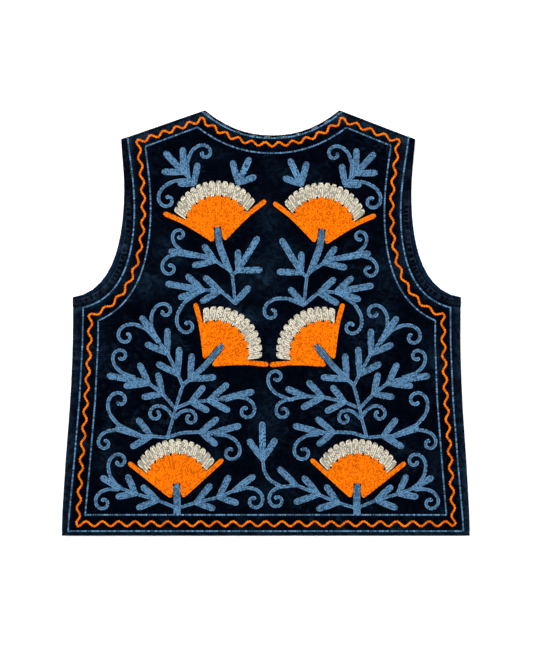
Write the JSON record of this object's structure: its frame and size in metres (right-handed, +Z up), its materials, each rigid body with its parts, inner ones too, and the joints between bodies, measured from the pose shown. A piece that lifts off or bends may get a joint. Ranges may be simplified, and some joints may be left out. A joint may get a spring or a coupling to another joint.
{
  "type": "embroidered folk vest laid flat",
  "caption": "Sleeveless velvet folk vest laid flat, back upwards, with chain-stitched vines, fans, petals and a waving border.",
  "frame": {"origin": "middle of the bounding box, on the surface that the vest lies on", "axes": "+Y from hem to neck, +X to the right seen from above with the neck up, +Z up out of the back panel's face"},
  "size_m": [0.5036, 0.5251, 0.0071],
  "materials": {
    "velvet": "near-black navy cotton velvet, short pile with a grey-blue sheen",
    "band_velvet": "navy velvet strip, rolled and topstitched",
    "blue_thread": "soft mid-blue chain-stitched cotton cord",
    "orange_thread": "bright orange chain-stitched cotton cord",
    "cream_thread": "cream chain-stitched cotton cord"
  },
  "bodies": {
    "root": {"back_panel": "velvet", "front_left": "velvet", "front_right": "velvet", "back_armhole_band_left": "band_velvet", "back_armhole_band_right": "band_velvet", "front_armhole_band_left": "band_velvet", "front_armhole_band_right": "band_velvet", "neck_binding": "band_velvet", "neck_row": "blue_thread", "outer_row": "blue_thread", "inner_row": "blue_thread", "wave_row": "orange_thread", "fan_top_left": "orange_thread", "fan_top_right": "orange_thread", "fan_middle_left": "orange_thread", "fan_middle_right": "orange_thread", "fan_low_left": "orange_thread", "fan_low_right": "orange_thread", "petals_top_left": "cream_thread", "petals_top_right": "cream_thread", "petals_middle_left": "cream_thread", "petals_middle_right": "cream_thread", "petals_low_left": "cream_thread", "petals_low_right": "cream_thread", "shoulder_sprig_left": "blue_thread", "shoulder_sprig_right": "blue_thread", "neck_sprig_left": "blue_thread", "neck_sprig_right": "blue_thread", "upper_vine_left": "blue_thread", "upper_vine_right": "blue_thread", "lower_vine_left": "blue_thread", "lower_vine_right": "blue_thread", "hem_spray_left": "blue_thread", "hem_spray_right": "blue_thread"}
  },
  "joints": []
}
